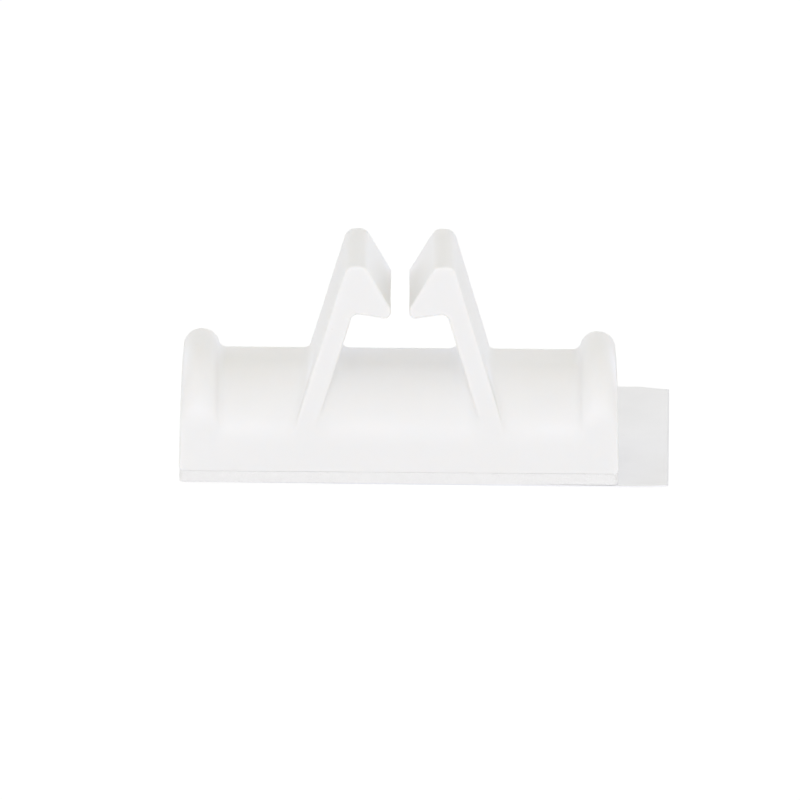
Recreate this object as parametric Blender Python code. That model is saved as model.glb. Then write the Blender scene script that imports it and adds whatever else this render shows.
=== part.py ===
"""Adhesive cord clip: a one-piece moulding on a foam pad, with the pad's release liner still on.

Metres, +Z up. X runs along the base, Y along the cord, and the origin is on the liner's
underside, below the middle of the moulding. The moulding is lofted along Y through outlines in
the XZ plane: towards the front and the back its floor and lips roll down, while the arms keep
their height.
"""

import math

import bmesh
import bpy
from mathutils import Vector

# Base of the moulding
BASE_LENGTH = 0.0351
BODY_DEPTH = 0.0150
BASE_THICKNESS = 0.00797
BASE_TOP_ROUND = 0.0055
BASE_CORNER_ROUND = 0.0004
END_DRAFT = math.radians(1.2)

# Lips that close the two ends of the base
LIP_WIDTH = 0.00319
LIP_RISE = 0.0015
LIP_SLOPE = math.radians(17.5)
LIP_CREST_ROUND = 0.00145
LIP_FOOT_ROUND = 0.0006

# Arms that lean towards each other and hold the cord
ARM_SPREAD = 0.01048
ARM_THICKNESS = 0.00168
ARM_LEAN = math.radians(17.1)
ARM_HEIGHT = 0.00878
ARM_INNER_ROOT_ROUND = 0.0010
ARM_OUTER_ROOT_ROUND = 0.0010

# Hooked heads of the arms, measured down from the arms' tops
MOUTH_GAP = 0.00145
HEAD_HEIGHT = 0.00433
NOSE_HEIGHT = 0.00090
LEAD_IN = math.radians(31.0)
NOSE_ROUND = 0.0005
NOSE_TOP_ROUND = 0.0004
HOOK_RISE = math.radians(9.0)
HOOK_ROOT_ROUND = 0.0006
HEAD_ROUND = 0.0009

# Rounding of the edges of the front and back faces
EDGE_ROUND = 0.0002
EDGE_STEPS = 2

# Foam pad
PAD_THICKNESS = 0.0009
PAD_INSET = 0.00005
PAD_CORNER_ROUND = 0.0005

# Release liner: longer than the moulding behind it and, as a pull tab, beyond its right end
LINER_THICKNESS = 0.00013
LINER_DEPTH = 0.0358
LINER_INSET = 0.0004
LINER_SKEW = math.radians(-1.3)
LINER_CORNER_ROUND = 0.0
TAB_LENGTH = 0.00412

# Gap between two pieces that are stuck together
SEAT_GAP = 0.00002

# Longest turn of one facet along an arc
ARC_STEP = math.radians(11.25)

# Points nearer than this are one point
SAME_POINT = 1e-6

# Edges that turn by more than this show as sharp
SHARP_TURN = math.radians(35.0)


def clear_scene():
    """Remove every object of the scene that the script starts in."""
    for obj in list(bpy.data.objects):
        bpy.data.objects.remove(obj, do_unlink=True)


def make_collection(name):
    """A collection linked to the scene."""
    collection = bpy.data.collections.new(name)
    bpy.context.scene.collection.children.link(collection)
    return collection


def make_material(name, colour, roughness):
    """A Principled material with a plain colour."""
    material = bpy.data.materials.new(name)
    material.use_nodes = True
    shader = material.node_tree.nodes["Principled BSDF"]
    shader.inputs["Base Color"].default_value = (*colour, 1.0)
    shader.inputs["Roughness"].default_value = roughness
    shader.inputs["Metallic"].default_value = 0.0
    return material


def fitted_rounds(corners):
    """How far each corner's arc reaches along its edges, shortened where two arcs share a short edge."""
    count = len(corners)
    spots = [Vector(corner[:2]) for corner in corners]
    reaches = []
    for index, corner in enumerate(corners):
        before = spots[index - 1] - spots[index]
        after = spots[(index + 1) % count] - spots[index]
        reaches.append(corner[2] / math.tan(before.angle(after) / 2))
    shares = [1.0] * count
    for index in range(count):
        following = (index + 1) % count
        edge = (spots[following] - spots[index]).length
        wanted = reaches[index] + reaches[following]
        if wanted > edge:
            shares[index] = min(shares[index], edge / wanted)
            shares[following] = min(shares[following], edge / wanted)
    return [reach * share for reach, share in zip(reaches, shares)]


def rounded_outline(corners, inset=0.0):
    """A closed outline through (x, y, radius) corners, each replaced by the arc that touches both edges.

    The corners run clockwise, and the outline is moved inwards by the inset.
    """
    count = len(corners)
    reaches = fitted_rounds(corners)
    points = []
    for index, corner in enumerate(corners):
        spot = Vector(corner[:2])
        before = (Vector(corners[index - 1][:2]) - spot).normalized()
        after = (Vector(corners[(index + 1) % count][:2]) - spot).normalized()
        half_angle = before.angle(after) / 2
        reach = reaches[index]
        centre = spot + (before + after).normalized() * reach / math.cos(half_angle)
        first = spot + before * reach - centre
        last = spot + after * reach - centre
        start = math.atan2(first.y, first.x)
        turn = (math.atan2(last.y, last.x) - start + math.pi) % (2 * math.pi) - math.pi
        steps = max(1, math.ceil(abs(turn) / ARC_STEP))
        bulges_out = before.cross(after) > 0
        radius = max(first.length - inset, 0.0) if bulges_out else first.length + inset
        for step in range(steps + 1):
            angle = start + turn * step / steps
            points.append(centre + radius * Vector((math.cos(angle), math.sin(angle))))
    return points


def extruded_outline(name, corners, thickness, material, collection):
    """A flat outline given thickness on both sides of its plane."""
    outline = rounded_outline(corners)
    points = [
        point
        for index, point in enumerate(outline)
        if (point - outline[index - 1]).length > SAME_POINT
    ]
    curve = bpy.data.curves.new(name, "CURVE")
    curve.dimensions = "2D"
    curve.fill_mode = "BOTH"
    curve.extrude = thickness / 2
    spline = curve.splines.new("POLY")
    spline.points.add(len(points) - 1)
    for spline_point, point in zip(spline.points, points):
        spline_point.co = (point.x, point.y, 0.0, 1.0)
    spline.use_cyclic_u = True
    curve.materials.append(material)
    piece = bpy.data.objects.new(name, curve)
    collection.objects.link(piece)
    weld = piece.modifiers.new("Join the caps to the sides", "WELD")
    weld.merge_threshold = SAME_POINT
    return piece


def lofted_outlines(name, sections, material, collection):
    """A closed body through (depth, outline) sections along Y, each outline with as many points."""
    mesh = bmesh.new()
    rings = [
        [mesh.verts.new((point.x, depth, point.y)) for point in outline]
        for depth, outline in sections
    ]
    for near, far in zip(rings, rings[1:]):
        for index in range(len(near)):
            mesh.faces.new((near[index - 1], near[index], far[index], far[index - 1]))
    mesh.faces.new(rings[0])
    mesh.faces.new(rings[-1])
    bmesh.ops.remove_doubles(mesh, verts=mesh.verts, dist=SAME_POINT)
    bmesh.ops.recalc_face_normals(mesh, faces=mesh.faces)
    data = bpy.data.meshes.new(name)
    mesh.to_mesh(data)
    mesh.free()
    data.shade_smooth()
    data.set_sharp_from_angle(angle=SHARP_TURN)
    data.materials.append(material)
    piece = bpy.data.objects.new(name, data)
    collection.objects.link(piece)
    return piece


def section_depths():
    """Depths of the moulding's sections from its middle out, closest together where its faces turn."""
    round_start = BODY_DEPTH / 2 - BASE_TOP_ROUND
    rim_start = BODY_DEPTH / 2 - EDGE_ROUND
    quarter = math.pi / 2
    steps = math.ceil(quarter / ARC_STEP)
    along_round = [
        round_start + BASE_TOP_ROUND * math.sin(quarter * step / steps)
        for step in range(steps)
    ]
    along_rim = [
        rim_start + EDGE_ROUND * math.sin(quarter * step / EDGE_STEPS)
        for step in range(EDGE_STEPS + 1)
    ]
    return [depth for depth in along_round if depth < rim_start - EDGE_ROUND] + along_rim


def top_drop(depth):
    """How far the base's rounded top lies below its middle at this depth."""
    into_round = max(depth - BODY_DEPTH / 2 + BASE_TOP_ROUND, 0.0)
    return BASE_TOP_ROUND - math.sqrt(max(BASE_TOP_ROUND**2 - into_round**2, 0.0))


def rim_inset(depth):
    """How far the outline is drawn in at this depth, to round the edges of the front and back faces."""
    into_rim = max(depth - BODY_DEPTH / 2 + EDGE_ROUND, 0.0)
    return EDGE_ROUND - math.sqrt(max(EDGE_ROUND**2 - into_rim**2, 0.0))


def arm_corners(floor, drop):
    """Corners of the right arm, from its inner root over the hooked head to its outer root.

    Where the floor drops, the arm's two sides go on down to it at the same lean.
    """
    root_inner = ARM_SPREAD / 2
    root_outer = root_inner + ARM_THICKNESS / math.cos(ARM_LEAN)
    lean = math.tan(ARM_LEAN)
    nose = MOUTH_GAP / 2
    nose_bottom = ARM_HEIGHT - HEAD_HEIGHT
    nose_top = nose_bottom + NOSE_HEIGHT
    rise = math.tan(HOOK_RISE)
    hook_height = (nose_bottom + rise * (root_inner - nose)) / (1 + rise * lean)
    lead = math.tan(LEAD_IN)
    return [
        (root_inner + lean * drop, floor - drop, ARM_INNER_ROOT_ROUND),
        (root_inner - lean * hook_height, floor + hook_height, HOOK_ROOT_ROUND),
        (nose, floor + nose_bottom, NOSE_ROUND),
        (nose, floor + nose_top, NOSE_TOP_ROUND),
        (nose + lead * (ARM_HEIGHT - nose_top), floor + ARM_HEIGHT, HEAD_ROUND),
        (root_outer - lean * ARM_HEIGHT, floor + ARM_HEIGHT, HEAD_ROUND),
        (root_outer + lean * drop, floor - drop, ARM_OUTER_ROOT_ROUND),
    ]


def base_corners(underside, floor, drop):
    """Corners of the base's right half, from the foot of its lip to the lower corner."""
    end = BASE_LENGTH / 2
    crest = floor + LIP_RISE - drop
    draft = math.tan(END_DRAFT) * (crest - underside)
    foot = end - LIP_WIDTH
    return [
        (foot, floor - drop, LIP_FOOT_ROUND),
        (foot + math.tan(LIP_SLOPE) * LIP_RISE, crest, LIP_CREST_ROUND),
        (end - draft, crest, LIP_CREST_ROUND),
        (end, underside, BASE_CORNER_ROUND),
    ]


def moulding_outline(underside, depth):
    """The moulding's outline at a depth: base, lips and arms, mirrored about the middle."""
    floor = underside + BASE_THICKNESS
    drop = top_drop(depth)
    right = arm_corners(floor, drop) + base_corners(underside, floor, drop)
    left = [(-x, z, radius) for x, z, radius in reversed(right)]
    return rounded_outline(right + left, rim_inset(depth))


def add_clip_body(collection, underside):
    """The moulding: the same sections from its middle to the back as to the front."""
    nylon = make_material("natural_nylon", (0.90, 0.89, 0.87), 0.45)
    back = [(depth, moulding_outline(underside, depth)) for depth in section_depths()]
    front = [(-depth, outline) for depth, outline in reversed(back)]
    return lofted_outlines("clip_body", front + back, nylon, collection)


def add_adhesive_pad(collection, underside):
    """The double-sided foam pad under the whole moulding."""
    foam = make_material("foam_adhesive", (0.84, 0.84, 0.84), 0.80)
    side = BASE_LENGTH / 2 - PAD_INSET
    front = BODY_DEPTH / 2 - PAD_INSET
    corners = [
        (side, front, PAD_CORNER_ROUND),
        (side, -front, PAD_CORNER_ROUND),
        (-side, -front, PAD_CORNER_ROUND),
        (-side, front, PAD_CORNER_ROUND),
    ]
    pad = extruded_outline("adhesive_pad", corners, PAD_THICKNESS, foam, collection)
    pad.location.z = underside + PAD_THICKNESS / 2
    return pad


def add_release_liner(collection):
    """The thin liner under the pad, with the tab beyond the right end that peels it off."""
    paper = make_material("release_liner", (0.80, 0.80, 0.82), 0.40)
    left = LINER_INSET - BASE_LENGTH / 2
    tip = BASE_LENGTH / 2 + TAB_LENGTH
    front = LINER_INSET - BODY_DEPTH / 2
    back = front + LINER_DEPTH
    corners = [
        (tip, front, LINER_CORNER_ROUND),
        (left, front, LINER_CORNER_ROUND),
        (left, back, LINER_CORNER_ROUND),
        (tip, back, LINER_CORNER_ROUND),
    ]
    liner = extruded_outline("release_liner", corners, LINER_THICKNESS, paper, collection)
    liner.location.z = LINER_THICKNESS / 2
    liner.rotation_euler.z = LINER_SKEW
    return liner


def build_clip():
    """Stack the three pieces from the liner's underside up."""
    clear_scene()
    collection = make_collection("adhesive_cord_clip")
    add_release_liner(collection)
    pad_underside = LINER_THICKNESS + SEAT_GAP
    add_adhesive_pad(collection, pad_underside)
    add_clip_body(collection, pad_underside + PAD_THICKNESS + SEAT_GAP)


build_clip()
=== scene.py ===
# Adhesive cord clip: finish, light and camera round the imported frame.
import math

import bpy
import numpy as np
from mathutils import Matrix, Vector


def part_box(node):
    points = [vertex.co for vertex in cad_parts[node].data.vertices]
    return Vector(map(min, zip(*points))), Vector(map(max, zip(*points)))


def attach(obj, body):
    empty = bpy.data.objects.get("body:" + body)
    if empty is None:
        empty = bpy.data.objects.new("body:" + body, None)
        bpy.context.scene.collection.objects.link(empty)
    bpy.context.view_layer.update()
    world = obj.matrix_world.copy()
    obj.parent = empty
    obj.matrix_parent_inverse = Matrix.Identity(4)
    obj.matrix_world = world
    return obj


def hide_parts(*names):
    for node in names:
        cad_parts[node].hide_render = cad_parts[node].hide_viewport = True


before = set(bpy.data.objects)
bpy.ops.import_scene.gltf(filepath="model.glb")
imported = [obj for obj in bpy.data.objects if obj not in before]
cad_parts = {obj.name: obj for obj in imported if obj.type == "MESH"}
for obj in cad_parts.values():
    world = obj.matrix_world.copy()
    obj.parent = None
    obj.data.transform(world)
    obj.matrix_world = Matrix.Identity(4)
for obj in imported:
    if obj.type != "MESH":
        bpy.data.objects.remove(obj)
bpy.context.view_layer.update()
print("frame loaded:", sorted(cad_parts))

mm = 0.001
rootBody = "root"

# The moulding; lengths in millimetres, angles in degrees. Its length, depth, height and
# underside come from the frame.
moulding = {
    "thickness": 7.97,  # underside to floor
    "topRound": 5.5,  # from the floor down to the front and back faces
    "cornerRound": 0.4,
    "endDraft": 1.2,
    "lipWidth": 3.19,
    "lipRise": 1.5,
    "lipSlope": 17.5,
    "lipCrestRound": 1.45,
    "lipFootRound": 0.6,
    "armSpread": 10.48,  # between the arms at the floor
    "armWall": 1.68,
    "armLean": 17.1,
    "rootRound": 1.0,
    "mouth": 1.45,  # between the two noses
    "headHeight": 4.33,  # nose's underside to the top
    "noseHeight": 0.90,
    "leadIn": 31.0,
    "noseRound": 0.5,
    "noseTopRound": 0.4,
    "hookRise": 9.0,
    "hookRootRound": 0.6,
    "headRound": 0.9,
    "rimRound": 0.20,  # along the edges of the front and back faces
    "faceBorder": 0.08,  # flat strip inside the rim
    "footShare": 0.1,  # how much of the rim is left along the underside
    "footHeight": 1.2,  # over which it grows to the whole rim
    "arcPoints": 11,  # along each rounded corner
    "roundPoints": 22,
    "rimPoints": 6,
    "middlePoints": 6,
    "longestEdge": 0.5,
    "sink": 0.03,  # hollow of the walls at mid depth, as moulded plastic has
    "swell": 0.006,  # uneven surface
    # each wave: turns round the outline, radians per millimetre of depth, start in radians
    "waves": ((5, 0.36, 0.0), (11, -0.64, 1.3), (23, 0.28, 4.1)),
}

# The foam pad: a bulging core between two thin adhesive films
padSizes = {
    "bulge": 0.02,
    "crown": 0.6,  # power that flattens the bulge, 1 for a plain sine
    "ripple": 0.01,  # uneven cut of the foam
    # each wave: turns round the outline, radians over the height, start in radians
    "waves": ((37, 6, 0.0), (91, -9, 0.7), (173, 14, 2.9)),
    "filmShare": 0.07,  # of the height, at top and bottom
    "cornerRound": 0.5,
    "arcPoints": 12,
    "longestEdge": 0.12,
    "heightPoints": 17,
}

# The liner: one sheet, slightly skew under the pad, with a tab that lifts off the surface
linerSizes = {
    "thickness": 0.12,
    "depth": 35.8,
    "skew": -1.3,
    "inset": 0.4,
    "tab": 4.12,
    "cornerRound": 0.3,
    "tabFrontRound": 0.3,
    "tabCutLength": 2.4,  # straight cut across the tab's far corner
    "tabCutDepth": 1.2,
    "tabLift": 0.12,
    "backWave": 0.10,
    "backStart": 1.0,  # flat strip behind the moulding before the waves start
    "waveAcross": 0.32,  # radians per millimetre
    "waveAlong": 0.21,
    "waveStart": 0.8,  # radians
    "pointsAcross": 150,
    "pointsAlong": 170,
}


def unit(vectors):
    # Each row divided by its own length
    return vectors / np.linalg.norm(vectors, axis=-1, keepdims=True)


def roundedOutline(corners, arcPoints):
    # Rows of corners (x, y, radius), one row for each section. A corner becomes the arc that
    # touches both its edges: the centre lies on the corner's bisector, radius / sin(half angle)
    # from it, and the arc turns from one touching point to the other. A normal is the direction
    # from the centre, turned round on inside corners.
    spots = corners[..., :2]
    before = np.roll(spots, 1, axis=1)
    after = np.roll(spots, -1, axis=1)
    toBefore = unit(before - spots)
    toAfter = unit(after - spots)
    halfAngle = np.arccos(np.clip(np.sum(toBefore * toAfter, axis=-1), -1, 1)) / 2
    reach = corners[..., 2] / np.tan(halfAngle)
    edge = np.linalg.norm(after - spots, axis=-1)
    share = np.minimum(1, edge / (reach + np.roll(reach, -1, axis=1)))
    reach = reach * np.minimum(share, np.roll(share, 1, axis=1))
    centre = spots + unit(toBefore + toAfter) * (reach / np.cos(halfAngle))[..., None]
    first = spots + toBefore * reach[..., None] - centre
    last = spots + toAfter * reach[..., None] - centre
    start = np.arctan2(first[..., 1], first[..., 0])
    turn = (np.arctan2(last[..., 1], last[..., 0]) - start + np.pi) % (2 * np.pi) - np.pi
    angle = start[..., None] + turn[..., None] * np.linspace(0, 1, arcPoints)
    direction = np.stack([np.cos(angle), np.sin(angle)], axis=-1)
    radius = np.linalg.norm(first, axis=-1)[..., None, None]
    shape = (len(corners), -1, 2)
    points = (centre[:, :, None] + radius * direction).reshape(shape)
    normals = (direction * np.sign(turn)[..., None, None]).reshape(shape)
    ahead = np.roll(points[0], -1, axis=0)
    area = np.sum(points[0, :, 0] * ahead[:, 1] - points[0, :, 1] * ahead[:, 0])
    if area < 0:  # runs clockwise
        points = points[:, ::-1]
        normals = -normals[:, ::-1]
    return points, normals


def fineOutline(points, normals, longestEdge):
    # Every edge that is longer than the limit in any section is split into equal parts, and
    # normals are blended along it. Also gives each point's angle, 360 degrees for one way round.
    closed = np.concatenate([points, points[:, :1]], axis=1)
    closedNormals = np.concatenate([normals, normals[:, :1]], axis=1)
    length = np.linalg.norm(np.diff(closed, axis=1), axis=-1).max(axis=0)
    parts = np.maximum(1, np.ceil(length / longestEdge)).astype(int)
    index = np.repeat(np.arange(len(length)), parts)
    step = np.arange(parts.sum()) - np.repeat(np.cumsum(parts) - parts, parts)
    share = (step / parts[index])[:, None]
    travelled = (np.cumsum(length) - length)[index] + length[index] * share[:, 0]
    fine = closed[:, index] * (1 - share) + closed[:, index + 1] * share
    fineNormals = unit(closedNormals[:, index] * (1 - share) + closedNormals[:, index + 1] * share)
    return fine, fineNormals, 2 * math.pi * travelled / length.sum()


def ringFaces(rings, around):
    # Quads between neighbouring closed rings, plus one cap on the first ring and one on the last
    ring, spot = np.meshgrid(np.arange(rings - 1), np.arange(around), indexing="ij")
    following = (spot + 1) % around
    here = ring * around
    above = here + around
    quads = np.stack([here + spot, above + spot, above + following, here + following], axis=-1)
    firstCap = np.arange(around).tolist()
    lastCap = ((rings - 1) * around + np.arange(around))[::-1].tolist()
    return quads.reshape(-1, 4).tolist() + [firstCap, lastCap]


def makePiece(name, points, faces, material, node, flatFaces=()):
    # A mesh object at the origin that stands for a CAD node and rides on the one body
    mesh = bpy.data.meshes.new(name)
    mesh.from_pydata((points * mm).tolist(), [], faces)
    smooth = np.ones(len(mesh.polygons), dtype=bool)
    smooth[list(flatFaces)] = False
    mesh.polygons.foreach_set("use_smooth", smooth)
    mesh.materials.append(material)
    mesh.validate()
    mesh.update()
    piece = bpy.data.objects.new(name, mesh)
    bpy.context.scene.collection.objects.link(piece)
    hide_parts(node)
    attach(piece, rootBody)
    print(name, "has", len(mesh.vertices), "points")
    return piece


def nodeBox(node):
    # Lowest and highest corner of a CAD node in millimetres
    low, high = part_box(node)
    return np.array(low) / mm, np.array(high) / mm


def unevenness(waves, around, along):
    # The mean of sines, each sin(turns * around + rate * along + start): one row for each place
    # along, one column for each angle round the outline
    turns, rates, starts = np.array(waves).T[:, :, None, None]
    return np.sin(turns * around[None, None] + rates * along[None, :, None] + starts).mean(axis=0)


def mouldingCorners(sizes, low, high, drop):
    # Each section's corners (x, z, radius): the right half from the arm's inner root over the
    # hook, the head and the lip to the lower corner, then the same mirrored. Where the floor
    # drops, the lip drops with it and the arm's two sides go on down to it at the same lean.
    floor = low[2] + sizes["thickness"]
    armHeight = high[2] - floor
    end = (high[0] - low[0]) / 2
    middle = (high[0] + low[0]) / 2
    lean = math.tan(math.radians(sizes["armLean"]))
    rootInner = sizes["armSpread"] / 2
    rootOuter = rootInner + sizes["armWall"] / math.cos(math.radians(sizes["armLean"]))
    nose = sizes["mouth"] / 2
    noseBottom = armHeight - sizes["headHeight"]
    noseTop = noseBottom + sizes["noseHeight"]
    rise = math.tan(math.radians(sizes["hookRise"]))
    hookHeight = (noseBottom + rise * (rootInner - nose)) / (1 + rise * lean)
    lead = math.tan(math.radians(sizes["leadIn"]))
    crest = floor + sizes["lipRise"] - drop
    draft = math.tan(math.radians(sizes["endDraft"])) * (crest - low[2])
    foot = end - sizes["lipWidth"]
    crestStart = foot + math.tan(math.radians(sizes["lipSlope"])) * sizes["lipRise"]
    right = [
        (rootInner + lean * drop, floor - drop, sizes["rootRound"]),
        (rootInner - lean * hookHeight, floor + hookHeight, sizes["hookRootRound"]),
        (nose, floor + noseBottom, sizes["noseRound"]),
        (nose, floor + noseTop, sizes["noseTopRound"]),
        (nose + lead * (armHeight - noseTop), floor + armHeight, sizes["headRound"]),
        (rootOuter - lean * armHeight, floor + armHeight, sizes["headRound"]),
        (rootOuter + lean * drop, floor - drop, sizes["rootRound"]),
        (foot, floor - drop, sizes["lipFootRound"]),
        (crestStart, crest, sizes["lipCrestRound"]),
        (end - draft, crest, sizes["lipCrestRound"]),
        (end, low[2], sizes["cornerRound"]),
    ]
    rows = [np.stack(np.broadcast_arrays(*corner, drop)[:3], axis=-1) for corner in right]
    right = np.stack(rows, axis=1)
    left = right[:, ::-1] * (-1, 1, 1)
    return np.concatenate([right, left], axis=1) + (middle, 0, 0)


def mouldingDepths(sizes, half):
    # Places of the sections along Y, with how far each lies inside the outline. They follow the
    # base's top round by the sine of equal turns, then the rim's quarter circle: inside by
    # round * (1 - cos a) at round * (1 - sin a) before the face. The last is the face's border.
    rim = sizes["rimRound"]
    topRound = sizes["topRound"]
    roundStart = half - topRound
    lastTurn = math.asin((topRound - rim) / topRound)
    middle = np.linspace(0, roundStart, sizes["middlePoints"])[:-1]
    along = roundStart + topRound * np.sin(np.linspace(0, lastTurn, sizes["roundPoints"]))[:-1]
    turn = np.linspace(0, math.pi / 2, sizes["rimPoints"])
    rimY = half - rim * (1 - np.sin(turn))
    y = np.concatenate([middle, along, rimY, [half]])
    plain = np.zeros(len(middle) + len(along))
    inset = np.concatenate([plain, rim * (1 - np.cos(turn)), [rim + sizes["faceBorder"]]])
    return np.concatenate([-y[:0:-1], y]), np.concatenate([inset[:0:-1], inset])


def addMoulding(material):
    # Sections lofted along Y. The floor and the lips lie lower by round - sqrt(round^2 - s^2),
    # with s the way into the top round. The rim is a share of itself along the underside and
    # grows to the whole upwards. The walls sink a little towards mid depth and swell unevenly.
    sizes = moulding
    low, high = nodeBox("clip_body")
    half = (high[1] - low[1]) / 2
    y, inset = mouldingDepths(sizes, half)
    topRound = sizes["topRound"]
    intoRound = np.clip(np.abs(y) - half + topRound, 0, topRound)
    drop = topRound - np.sqrt(topRound**2 - intoRound**2)
    points, normals = roundedOutline(mouldingCorners(sizes, low, high, drop), sizes["arcPoints"])
    points, normals, around = fineOutline(points, normals, sizes["longestEdge"])
    hollow = 1 - (y / half) ** 2
    uneven = unevenness(sizes["waves"], around, y)
    grown = np.clip((points[..., 1] - low[2]) / sizes["footHeight"], 0, 1)
    rim = inset[:, None] * (sizes["footShare"] + (1 - sizes["footShare"]) * grown)
    inwards = rim + hollow[:, None] * (sizes["sink"] + sizes["swell"] * uneven)
    xz = points - normals * inwards[..., None]
    place = y[:, None] + (high[1] + low[1]) / 2
    grid = np.stack([xz[..., 0], np.broadcast_to(place, xz.shape[:2]), xz[..., 1]], axis=-1)
    faces = ringFaces(len(y), xz.shape[1])
    return makePiece("moulding", grid.reshape(-1, 3), faces, material, "clip_body")


def addFoamPad(material):
    # A rounded rectangle carried upwards. Between its films the side stands out by
    # (bulge + ripple * waves) * sin(pi * height share)^crown.
    sizes = padSizes
    low, high = nodeBox("adhesive_pad")
    radius = sizes["cornerRound"]
    room = sizes["bulge"] + sizes["ripple"]
    corners = np.array([
        (low[0] + room, low[1] + room, radius),
        (high[0] - room, low[1] + room, radius),
        (high[0] - room, high[1] - room, radius),
        (low[0] + room, high[1] - room, radius),
    ])
    points, normals = roundedOutline(corners[None], sizes["arcPoints"])
    points, normals, around = fineOutline(points, normals, sizes["longestEdge"])
    share = (1 - np.cos(np.linspace(0, math.pi, sizes["heightPoints"]))) / 2
    film = sizes["filmShare"]
    core = np.clip((share - film) / (1 - 2 * film), 0, 1)
    crown = np.sin(math.pi * core) ** sizes["crown"]
    uneven = unevenness(sizes["waves"], around, share)
    outwards = crown[:, None] * (sizes["bulge"] + sizes["ripple"] * uneven)
    xy = points + normals * outwards[..., None]
    z = low[2] + (high[2] - low[2]) * share
    grid = np.stack([xy[..., 0], xy[..., 1], np.broadcast_to(z[:, None], xy.shape[:2])], axis=-1)
    # carried upwards, the rings turn the other way from those carried along Y
    faces = [face[::-1] for face in ringFaces(len(z), xy.shape[1])]
    caps = (len(faces) - 2, len(faces) - 1)
    points = grid.reshape(-1, 3)
    piece = makePiece("foam_pad", points, faces, material, "adhesive_pad", caps)
    return piece


def cornerCut(fromEnd, radius):
    # How far a rounded corner takes the side in: round - sqrt(round^2 - (round - distance)^2)
    inside = np.clip(radius - fromEnd, 0, radius)
    return radius - np.sqrt(radius**2 - inside**2)


def addLiner(material):
    # A grid over the sheet, its rows shortened at the round and cut corners. The height is flat under
    # the moulding, rises with the square of the distance along the tab, and waves behind the base.
    sizes = linerSizes
    bodyLow, bodyHigh = nodeBox("clip_body")
    left = bodyLow[0] + sizes["inset"]
    tip = bodyHigh[0] + sizes["tab"]
    front = bodyLow[1] + sizes["inset"]
    back = front + sizes["depth"]
    across = np.linspace(0, 1, sizes["pointsAcross"])
    along = (1 - np.cos(np.linspace(0, math.pi, sizes["pointsAlong"]))) / 2
    y = front + (back - front) * along
    leftCut = cornerCut(y - front, sizes["cornerRound"]) + cornerCut(back - y, sizes["cornerRound"])
    straightCut = sizes["tabCutLength"] * np.clip(1 - (back - y) / sizes["tabCutDepth"], 0, 1)
    rightCut = cornerCut(y - front, sizes["tabFrontRound"]) + straightCut
    x = (left + leftCut)[:, None] * (1 - across) + (tip - rightCut)[:, None] * across
    y = np.broadcast_to(y[:, None], x.shape)
    tabShare = np.clip((x - bodyHigh[0]) / sizes["tab"], 0, 1)
    waveFront = bodyHigh[1] + sizes["backStart"]
    behind = np.clip((y - waveFront) / (back - waveFront), 0, 1)
    acrossWave = np.sin(sizes["waveAcross"] * x + sizes["waveStart"])
    wave = behind**2 * (1 + acrossWave * np.sin(sizes["waveAlong"] * y))
    z = sizes["tabLift"] * tabShare**2 + sizes["backWave"] * wave
    turn = math.radians(sizes["skew"])
    turnedX = x * math.cos(turn) - y * math.sin(turn)
    turnedY = x * math.sin(turn) + y * math.cos(turn)
    under = np.stack([turnedX, turnedY, z], axis=-1).reshape(-1, 3)
    over = under + (0, 0, sizes["thickness"])
    rows, columns = x.shape
    row, column = np.meshgrid(np.arange(rows - 1), np.arange(columns - 1), indexing="ij")
    corner = row * columns + column
    underQuads = np.stack([corner, corner + columns, corner + columns + 1, corner + 1], axis=-1)
    underQuads = underQuads.reshape(-1, 4)
    overQuads = underQuads[:, ::-1] + rows * columns
    number = np.arange(rows * columns).reshape(rows, columns)
    border = np.concatenate([number[0, :-1], number[:-1, -1], number[-1, :0:-1], number[:0:-1, 0]])
    ahead = np.roll(border, -1)
    sideQuads = np.stack([border, ahead, ahead + rows * columns, border + rows * columns], axis=-1)
    faces = np.vstack([underQuads, overQuads, sideQuads]).tolist()
    flat = range(len(faces) - len(sideQuads), len(faces))
    points = np.vstack([under, over])
    return makePiece("liner_sheet", points, faces, material, "release_liner", flat)


# Materials

nylonFinish = {
    "coolTint": (0.965, 0.965, 0.965),
    "warmTint": (0.97, 0.965, 0.955),
    "cloudSize": 6.0,  # millimetres
    "grainSize": 0.045,
    "swellSize": 1.6,
    "grainDepth": 0.004,
    "scatter": (0.22, 0.21, 0.20),  # how far light spreads inside, millimetres
    "roughness": (0.40, 0.52),
    "bend": 1.5,  # index of refraction
    "gloss": 0.4,
    "fleckSize": 0.9,
    "fleckShare": 0.03,  # of the cells
    "fleckColour": (0.93, 0.92, 0.90),
}

foamFinish = {
    "lightTint": (0.96, 0.96, 0.96),
    "darkTint": (0.93, 0.93, 0.93),
    "cloudSize": 1.4,
    "cellSize": 0.11,
    "cellDepth": 0.03,
    "scatter": (0.1, 0.1, 0.1),
    "roughness": (0.78, 0.92),
}

linerFinish = {
    "lightTint": (0.93, 0.935, 0.955),
    "darkTint": (0.915, 0.92, 0.94),
    "cloudSize": 3.5,
    "grainSize": 0.06,
    "swellSize": 2.4,
    "grainDepth": 0.003,
    "roughness": (0.30, 0.42),
    "bend": 1.45,
    "fleckSize": 1.3,
    "fleckShare": 0.04,
    "fleckColour": (0.88, 0.88, 0.89),
}

# What the shared groups do inside
patterns = {
    "grainPart": 0.6,
    "swellPart": 1.6,
    "cloudRoughness": 0.55,
    "cloudLow": 0.32,
    "cloudHigh": 0.68,
    "fleckEdge": 0.13,  # of a cell: outside it nothing is left of a fleck
    "fleckCore": 0.05,  # and inside this it is full
}


def addNode(tree, kind, **settings):
    # One node with its own settings
    node = tree.nodes.new(kind)
    for name, value in settings.items():
        setattr(node, name, value)
    return node


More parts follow.
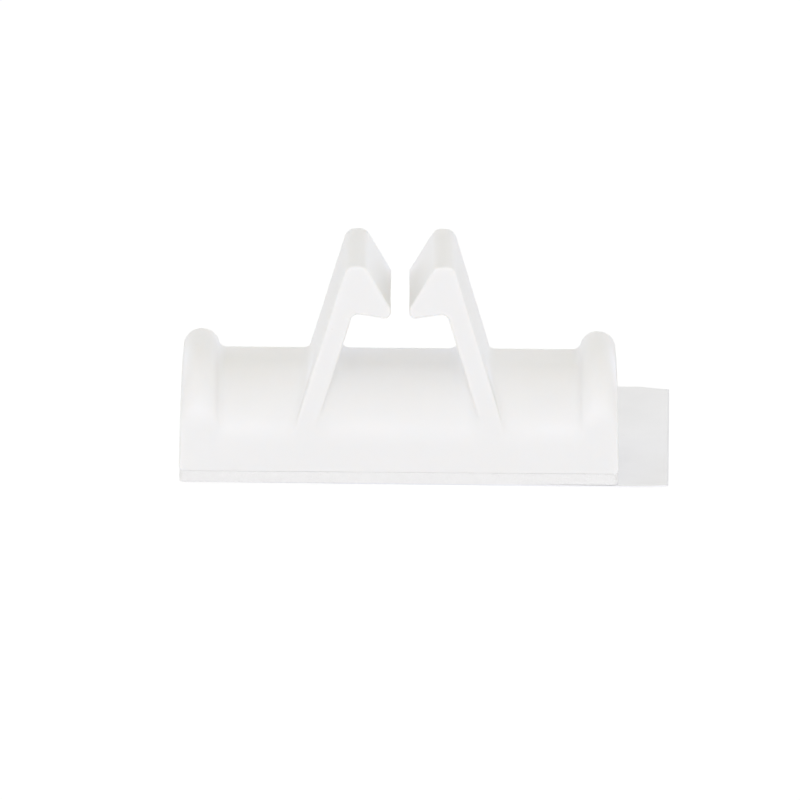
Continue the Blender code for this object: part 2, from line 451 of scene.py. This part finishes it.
def addMath(tree, operation, first, second):
    # One Math node; each input is a socket or a number
    node = addNode(tree, "ShaderNodeMath", operation=operation)
    for socket, value in zip(node.inputs, (first, second)):
        if isinstance(value, (int, float)):
            socket.default_value = value
        else:
            tree.links.new(value, socket)
    return node.outputs[0]


def newGroup(name, inputs, outputs):
    # An empty shader group with named sockets
    group = bpy.data.node_groups.new(name, "ShaderNodeTree")
    for socketName, kind in inputs.items():
        group.interface.new_socket(socketName, in_out="INPUT", socket_type=kind)
    for socketName, kind in outputs.items():
        group.interface.new_socket(socketName, in_out="OUTPUT", socket_type=kind)
    return group, addNode(group, "NodeGroupInput").outputs, addNode(group, "NodeGroupOutput").inputs


def addNoise(tree, vector, frequency, detail, roughness=0.5):
    # Fractal noise between 0 and 1
    noise = addNode(tree, "ShaderNodeTexNoise")
    noise.inputs["Detail"].default_value = detail
    noise.inputs["Roughness"].default_value = roughness
    tree.links.new(vector, noise.inputs["Vector"])
    tree.links.new(frequency, noise.inputs["Scale"])
    return noise.outputs["Fac"]


def makeGrainGroup():
    # Height: grainPart * fine matt grain + swellPart * a wider swell
    group, given, result = newGroup(
        "mouldGrain",
        {
            "Vector": "NodeSocketVector",
            "Grain Frequency": "NodeSocketFloat",
            "Swell Frequency": "NodeSocketFloat",
        },
        {"Height": "NodeSocketFloat"},
    )
    grain = addNoise(group, given["Vector"], given["Grain Frequency"], 2.0)
    swell = addNoise(group, given["Vector"], given["Swell Frequency"], 1.0)
    fine = addMath(group, "MULTIPLY", grain, patterns["grainPart"])
    wide = addMath(group, "MULTIPLY", swell, patterns["swellPart"])
    group.links.new(addMath(group, "ADD", fine, wide), result["Height"])
    return group


def makeCloudGroup():
    # Colour: two tints mixed by soft noise, and the noise itself as a mask
    group, given, result = newGroup(
        "softCloud",
        {
            "Vector": "NodeSocketVector",
            "Frequency": "NodeSocketFloat",
            "First Tint": "NodeSocketColor",
            "Second Tint": "NodeSocketColor",
        },
        {"Color": "NodeSocketColor", "Mask": "NodeSocketFloat"},
    )
    cloud = addNoise(group, given["Vector"], given["Frequency"], 3.0, patterns["cloudRoughness"])
    spread = addNode(group, "ShaderNodeMapRange")
    spread.inputs["From Min"].default_value = patterns["cloudLow"]
    spread.inputs["From Max"].default_value = patterns["cloudHigh"]
    group.links.new(cloud, spread.inputs["Value"])
    mix = addNode(group, "ShaderNodeMix", data_type="RGBA")
    group.links.new(spread.outputs["Result"], mix.inputs["Factor"])
    group.links.new(given["First Tint"], mix.inputs["A"])
    group.links.new(given["Second Tint"], mix.inputs["B"])
    group.links.new(mix.outputs["Result"], result["Color"])
    group.links.new(spread.outputs["Result"], result["Mask"])
    return group


def makeFleckGroup():
    # Mask: small round specks in a few of the cells of a Voronoi pattern
    group, given, result = newGroup(
        "fineFlecks",
        {"Vector": "NodeSocketVector", "Frequency": "NodeSocketFloat", "Share": "NodeSocketFloat"},
        {"Mask": "NodeSocketFloat"},
    )
    cells = addNode(group, "ShaderNodeTexVoronoi")
    group.links.new(given["Vector"], cells.inputs["Vector"])
    group.links.new(given["Frequency"], cells.inputs["Scale"])
    pick = addNode(group, "ShaderNodeSeparateColor")
    group.links.new(cells.outputs["Color"], pick.inputs["Color"])
    chosen = addMath(group, "LESS_THAN", pick.outputs["Red"], given["Share"])
    spot = addNode(group, "ShaderNodeMapRange", interpolation_type="SMOOTHSTEP")
    spot.inputs["From Min"].default_value = patterns["fleckEdge"]
    spot.inputs["From Max"].default_value = patterns["fleckCore"]
    group.links.new(cells.outputs["Distance"], spot.inputs["Value"])
    group.links.new(addMath(group, "MULTIPLY", spot.outputs["Result"], chosen), result["Mask"])
    return group


grainGroup = makeGrainGroup()
cloudGroup = makeCloudGroup()
fleckGroup = makeFleckGroup()


def placeGroup(tree, group, **values):
    # A group node; each value is a socket, a number or a colour, by the input's name
    node = addNode(tree, "ShaderNodeGroup", node_tree=group)
    for name, value in values.items():
        socket = node.inputs[name.replace("_", " ")]
        if isinstance(value, bpy.types.NodeSocket):
            tree.links.new(value, socket)
        elif isinstance(value, tuple):
            socket.default_value = (*value, 1.0)
        else:
            socket.default_value = value
    return node.outputs


def newMaterial(name):
    # A material with its Principled shader and the Object coordinates
    material = bpy.data.materials.new(name)
    material.use_nodes = True
    tree = material.node_tree
    place = addNode(tree, "ShaderNodeTexCoord").outputs["Object"]
    return material, tree, tree.nodes["Principled BSDF"], place


def linkRange(tree, mask, low, high, target):
    # Brings a mask from 0 to 1 into the range low to high
    spread = addNode(tree, "ShaderNodeMapRange")
    spread.inputs["To Min"].default_value = low
    spread.inputs["To Max"].default_value = high
    tree.links.new(mask, spread.inputs["Value"])
    tree.links.new(spread.outputs["Result"], target)


def linkBump(tree, height, depth, shader):
    # A Bump node over the whole surface, its depth in millimetres
    bump = addNode(tree, "ShaderNodeBump")
    bump.inputs["Strength"].default_value = 1.0
    bump.inputs["Distance"].default_value = depth * mm
    tree.links.new(height, bump.inputs["Height"])
    tree.links.new(bump.outputs["Normal"], shader.inputs["Normal"])


def frequencyOf(size):
    # Repeats per metre of a pattern whose size is in millimetres
    return 1 / (size * mm)


def addFlecks(tree, place, finish, colour, target):
    # Specks of a slightly darker tint over a colour
    flecks = placeGroup(
        tree,
        fleckGroup,
        Vector=place,
        Frequency=frequencyOf(finish["fleckSize"]),
        Share=finish["fleckShare"],
    )
    mix = addNode(tree, "ShaderNodeMix", data_type="RGBA")
    mix.inputs["B"].default_value = (*finish["fleckColour"], 1.0)
    tree.links.new(flecks["Mask"], mix.inputs["Factor"])
    tree.links.new(colour, mix.inputs["A"])
    tree.links.new(mix.outputs["Result"], target)


def makeNylon():
    # Milky nylon: light spreads inside it, the tint is cloudy and the skin satin
    finish = nylonFinish
    material, tree, shader, place = newMaterial("milky_nylon")
    cloud = placeGroup(
        tree,
        cloudGroup,
        Vector=place,
        Frequency=frequencyOf(finish["cloudSize"]),
        First_Tint=finish["coolTint"],
        Second_Tint=finish["warmTint"],
    )
    addFlecks(tree, place, finish, cloud["Color"], shader.inputs["Base Color"])
    linkRange(tree, cloud["Mask"], *finish["roughness"], shader.inputs["Roughness"])
    grain = placeGroup(
        tree,
        grainGroup,
        Vector=place,
        Grain_Frequency=frequencyOf(finish["grainSize"]),
        Swell_Frequency=frequencyOf(finish["swellSize"]),
    )
    linkBump(tree, grain["Height"], finish["grainDepth"], shader)
    shader.inputs["Subsurface Weight"].default_value = 1.0
    shader.inputs["Subsurface Radius"].default_value = finish["scatter"]
    shader.inputs["Subsurface Scale"].default_value = mm
    shader.inputs["IOR"].default_value = finish["bend"]
    shader.inputs["Specular IOR Level"].default_value = finish["gloss"]
    return material


def makeFoam():
    # Closed-cell foam: Voronoi cells are small pits, and the tint is cloudy
    finish = foamFinish
    material, tree, shader, place = newMaterial("white_foam")
    cloud = placeGroup(
        tree,
        cloudGroup,
        Vector=place,
        Frequency=frequencyOf(finish["cloudSize"]),
        First_Tint=finish["lightTint"],
        Second_Tint=finish["darkTint"],
    )
    tree.links.new(cloud["Color"], shader.inputs["Base Color"])
    cells = addNode(tree, "ShaderNodeTexVoronoi", feature="SMOOTH_F1")
    cells.inputs["Scale"].default_value = frequencyOf(finish["cellSize"])
    tree.links.new(place, cells.inputs["Vector"])
    linkRange(tree, cells.outputs["Distance"], *finish["roughness"], shader.inputs["Roughness"])
    linkBump(tree, cells.outputs["Distance"], finish["cellDepth"], shader)
    shader.inputs["Subsurface Weight"].default_value = 1.0
    shader.inputs["Subsurface Radius"].default_value = finish["scatter"]
    shader.inputs["Subsurface Scale"].default_value = mm
    return material


def makeLinerFilm():
    # Silicone-coated sheet: bluish white, smoother than the moulding, with a few specks
    finish = linerFinish
    material, tree, shader, place = newMaterial("coated_liner")
    cloud = placeGroup(
        tree,
        cloudGroup,
        Vector=place,
        Frequency=frequencyOf(finish["cloudSize"]),
        First_Tint=finish["lightTint"],
        Second_Tint=finish["darkTint"],
    )
    addFlecks(tree, place, finish, cloud["Color"], shader.inputs["Base Color"])
    linkRange(tree, cloud["Mask"], *finish["roughness"], shader.inputs["Roughness"])
    grain = placeGroup(
        tree,
        grainGroup,
        Vector=place,
        Grain_Frequency=frequencyOf(finish["grainSize"]),
        Swell_Frequency=frequencyOf(finish["swellSize"]),
    )
    linkBump(tree, grain["Height"], finish["grainDepth"], shader)
    shader.inputs["IOR"].default_value = finish["bend"]
    return material


addMoulding(makeNylon())
addFoamPad(makeFoam())
addLiner(makeLinerFilm())
print("pieces made")

# Surroundings

surroundings = {
    "floorSize": 3.0,  # metres
    "floorDrop": 0.01,  # millimetres below the liner
    "floorColour": (0.88, 0.88, 0.88),
    "floorGlow": 0.90,  # what the camera sees without any light on the floor
    "floorShade": 0.16,  # share of the light on the floor that the camera sees
    "skyLevel": 0.72,
    "skyColour": (1.0, 0.972, 0.896),
    "whiteLevel": 1.02,  # of the background, for the eye alone
    "lampAim": (0, 0, 6),  # millimetres
    "diffuseBounces": 16,  # light goes to and fro between white faces
    "allBounces": 24,
}

# Each lamp's place and size in millimetres, and what it adds to a white card that faces it
lamps = {
    "frontSoftbox": {"place": (-40, -900, 115), "size": 220, "adds": 0.31, "colour": (0.84, 0.867, 1.0)},
    "leftRimBox": {"place": (-650, 650, 300), "size": 440, "adds": 0.165, "colour": (0.69, 0.765, 1.0)},
    "rightRimBox": {"place": (650, 650, 300), "size": 440, "adds": 0.205, "colour": (0.665, 0.745, 1.0)},
}


def seenByEye(tree):
    # 1 for a ray from the camera, off a gloss or through a clear body, and 0 for any other
    path = addNode(tree, "ShaderNodeLightPath").outputs
    either = addMath(tree, "MAXIMUM", path["Is Camera Ray"], path["Is Glossy Ray"])
    return addMath(tree, "MAXIMUM", either, path["Is Transmission Ray"])


def addFloor():
    # A plain floor: pale for the light, and near white with a faint shadow for the eye
    size = surroundings["floorSize"]
    bpy.ops.mesh.primitive_plane_add(size=size, location=(0, 0, -surroundings["floorDrop"] * mm))
    floor = bpy.context.active_object
    floor.name = "studio_floor"
    material = bpy.data.materials.new("pale_floor")
    material.use_nodes = True
    tree = material.node_tree
    tree.nodes.clear()
    plain = addNode(tree, "ShaderNodeBsdfDiffuse")
    plain.inputs["Color"].default_value = (*surroundings["floorColour"], 1.0)
    shade = addNode(tree, "ShaderNodeBsdfDiffuse")
    shade.inputs["Color"].default_value = (*[surroundings["floorShade"]] * 3, 1.0)
    glow = addNode(tree, "ShaderNodeEmission")
    glow.inputs["Strength"].default_value = surroundings["floorGlow"]
    seen = addNode(tree, "ShaderNodeAddShader")
    tree.links.new(shade.outputs[0], seen.inputs[0])
    tree.links.new(glow.outputs[0], seen.inputs[1])
    mix = addNode(tree, "ShaderNodeMixShader")
    tree.links.new(seenByEye(tree), mix.inputs["Fac"])
    tree.links.new(plain.outputs[0], mix.inputs[1])
    tree.links.new(seen.outputs[0], mix.inputs[2])
    output = addNode(tree, "ShaderNodeOutputMaterial")
    tree.links.new(mix.outputs[0], output.inputs["Surface"])
    floor.data.materials.append(material)


def addSky():
    # White for the eye, and an even, slightly warm light for everything else
    world = bpy.data.worlds.new("studio_sky")
    bpy.context.scene.world = world
    world.use_nodes = True
    tree = world.node_tree
    tree.nodes.clear()
    light = addNode(tree, "ShaderNodeBackground")
    light.inputs["Color"].default_value = (*surroundings["skyColour"], 1.0)
    light.inputs["Strength"].default_value = surroundings["skyLevel"]
    white = addNode(tree, "ShaderNodeBackground")
    white.inputs["Color"].default_value = (1.0, 1.0, 1.0, 1.0)
    white.inputs["Strength"].default_value = surroundings["whiteLevel"]
    mix = addNode(tree, "ShaderNodeMixShader")
    tree.links.new(seenByEye(tree), mix.inputs["Fac"])
    tree.links.new(light.outputs[0], mix.inputs[1])
    tree.links.new(white.outputs[0], mix.inputs[2])
    output = addNode(tree, "ShaderNodeOutputWorld")
    tree.links.new(mix.outputs[0], output.inputs["Surface"])


def addLamps():
    # Square soft lamps that face the clip; power = pi^2 * distance^2 * what it adds to a white card
    aim = Vector(surroundings["lampAim"]) * mm
    for name, lamp in lamps.items():
        light = bpy.data.lights.new(name, "AREA")
        light.shape = "SQUARE"
        light.size = lamp["size"] * mm
        light.color = lamp["colour"]
        place = Vector(lamp["place"]) * mm
        light.energy = math.pi**2 * (place - aim).length_squared * lamp["adds"]
        holder = bpy.data.objects.new(name, light)
        holder.location = place
        holder.rotation_euler = (aim - place).to_track_quat("-Z", "Y").to_euler()
        bpy.context.scene.collection.objects.link(holder)


addFloor()
addSky()
addLamps()
print("light set")

# Camera: angles in degrees, lengths in millimetres
cameraSizes = {
    "elevation": 12.7,
    "yaw": 0.0,
    "roll": 0.458,
    "distance": 926.6,
    "lens": 523.2,
    "sensor": 36.0,
    "seen": (0.0, -7.5, 0.0),  # a point of the clip
    "seenPixel": (398.6, 485.5),  # and where the photo shows it
}
imageWidth = 800


def addCamera():
    # Looks along the elevation and yaw, rolled, from where the chosen point falls on its pixel
    sizes = cameraSizes
    elevation = math.radians(sizes["elevation"])
    yaw = math.radians(sizes["yaw"])
    roll = math.radians(sizes["roll"])
    forward = Vector((
        math.sin(yaw) * math.cos(elevation),
        math.cos(yaw) * math.cos(elevation),
        -math.sin(elevation),
    ))
    level = Vector((math.cos(yaw), -math.sin(yaw), 0))
    upright = level.cross(forward)
    right = level * math.cos(roll) + upright * math.sin(roll)
    up = upright * math.cos(roll) - level * math.sin(roll)
    perPixel = sizes["sensor"] / sizes["lens"] / imageWidth
    across = (sizes["seenPixel"][0] - imageWidth / 2) * perPixel
    down = (sizes["seenPixel"][1] - imageWidth / 2) * perPixel
    eye = Vector(sizes["seen"]) - sizes["distance"] * (forward + across * right - down * up)
    camera = bpy.data.cameras.new("photo_camera")
    camera.lens = sizes["lens"]
    camera.sensor_width = sizes["sensor"]
    camera.dof.use_dof = False
    holder = bpy.data.objects.new("photo_camera", camera)
    axes = Matrix((right, up, -forward)).transposed()
    holder.matrix_world = Matrix.Translation(eye * mm) @ axes.to_4x4()
    bpy.context.scene.collection.objects.link(holder)
    bpy.context.scene.camera = holder


addCamera()
bpy.context.scene.view_settings.view_transform = "Standard"
bpy.context.scene.cycles.diffuse_bounces = surroundings["diffuseBounces"]
bpy.context.scene.cycles.max_bounces = surroundings["allBounces"]
print("camera set")
